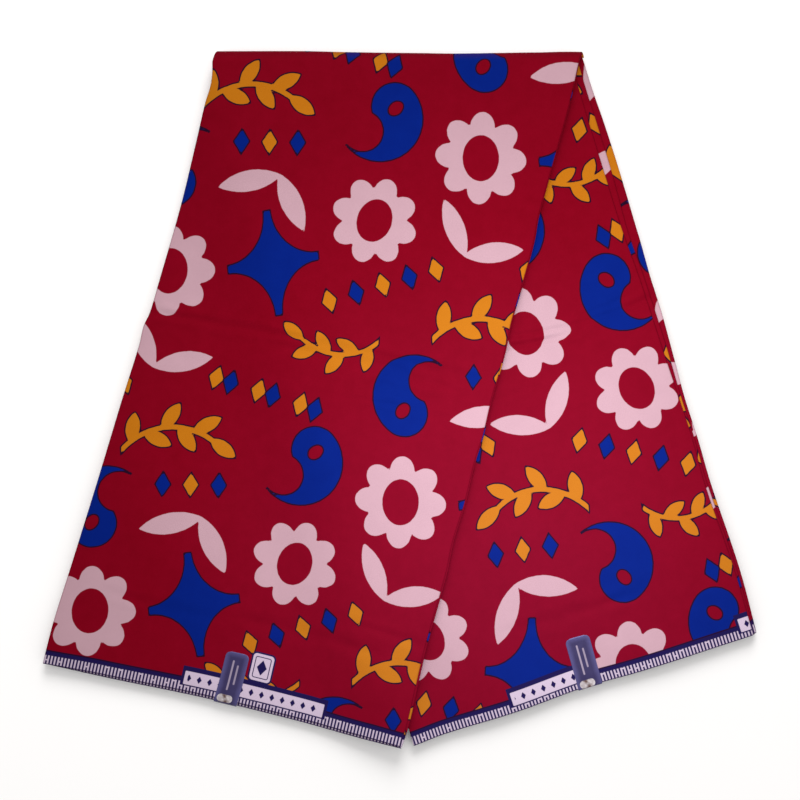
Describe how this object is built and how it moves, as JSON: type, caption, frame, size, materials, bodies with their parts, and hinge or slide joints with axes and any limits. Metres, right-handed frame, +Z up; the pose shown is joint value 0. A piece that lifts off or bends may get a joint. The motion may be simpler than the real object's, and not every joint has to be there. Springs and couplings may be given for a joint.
{
  "type": "folded wax print fabric",
  "caption": "Folded length of wax print cotton lying flat, turned over once on the slant so that its two halves fan out below the top fold, with foil labels over the selvedges.",
  "frame": {"origin": "on the surface that the cloth lies on, under the middle of its outline", "axes": "+X to the right across the two fanned halves, +Y towards the top fold, +Z up out of the surface"},
  "size_m": [0.6432, 0.6254, 0.0195],
  "materials": {
    "printed_cotton": "wax print cotton, crimson ground with pale pink, royal blue and amber motifs, slight waxy sheen",
    "cotton_edges": "stacked folds and selvedges of the same cotton, matt",
    "label_foil": "glossy violet-navy foil label"
  },
  "bodies": {
    "root": {"back_layers": "cotton_edges", "back_third_sheet": "printed_cotton", "back_middle_sheet": "printed_cotton", "back_sheet": "printed_cotton", "front_layers": "cotton_edges", "front_second_sheet": "printed_cotton", "front_sheet": "printed_cotton", "front_label": "label_foil", "back_label": "label_foil"}
  },
  "joints": []
}
